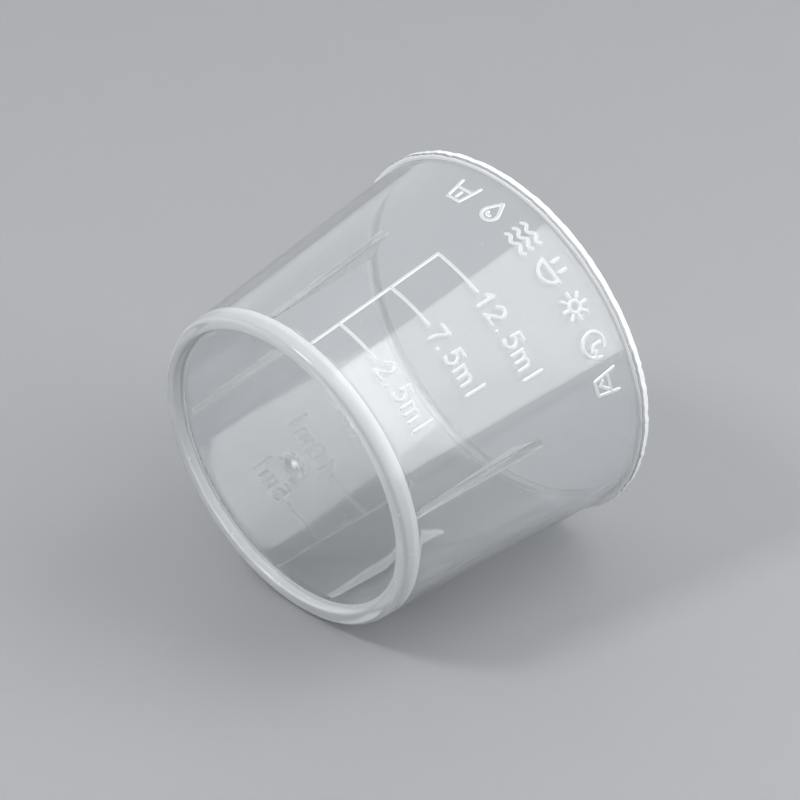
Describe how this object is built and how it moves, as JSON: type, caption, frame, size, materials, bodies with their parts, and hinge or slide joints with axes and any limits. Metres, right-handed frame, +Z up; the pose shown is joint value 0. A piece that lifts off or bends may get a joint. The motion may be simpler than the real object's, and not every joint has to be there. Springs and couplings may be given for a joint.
{
  "type": "graduated dosing cup",
  "caption": "Small tapered dosing cup moulded in clear plastic, with a lipped mouth, a recessed foot, inner grip ribs and raised measuring scales.",
  "frame": {"origin": "centre of the foot ring's flat underside", "axes": "+Z up the cup's axis, from the foot to the mouth; +Y through the middle of the side with the 2.5, 7.5 and 12.5 ml scale, 7 degrees from that scale's own middle; +X completes the right-handed frame"},
  "size_m": [0.0378, 0.0378, 0.0288],
  "materials": {
    "cup_plastic": "clear natural polypropylene, polished mould finish",
    "raised_marks": "the same polypropylene, in strokes raised from the wall"
  },
  "bodies": {
    "root": {"side_wall": "cup_plastic", "floor_plate": "cup_plastic", "foot_ring": "cup_plastic", "rim_lip": "cup_plastic", "grip_rib_1": "cup_plastic", "grip_rib_2": "cup_plastic", "grip_rib_3": "cup_plastic", "grip_rib_4": "cup_plastic", "scale_a": "raised_marks", "scale_b": "raised_marks", "gate_pip": "cup_plastic"}
  },
  "joints": []
}
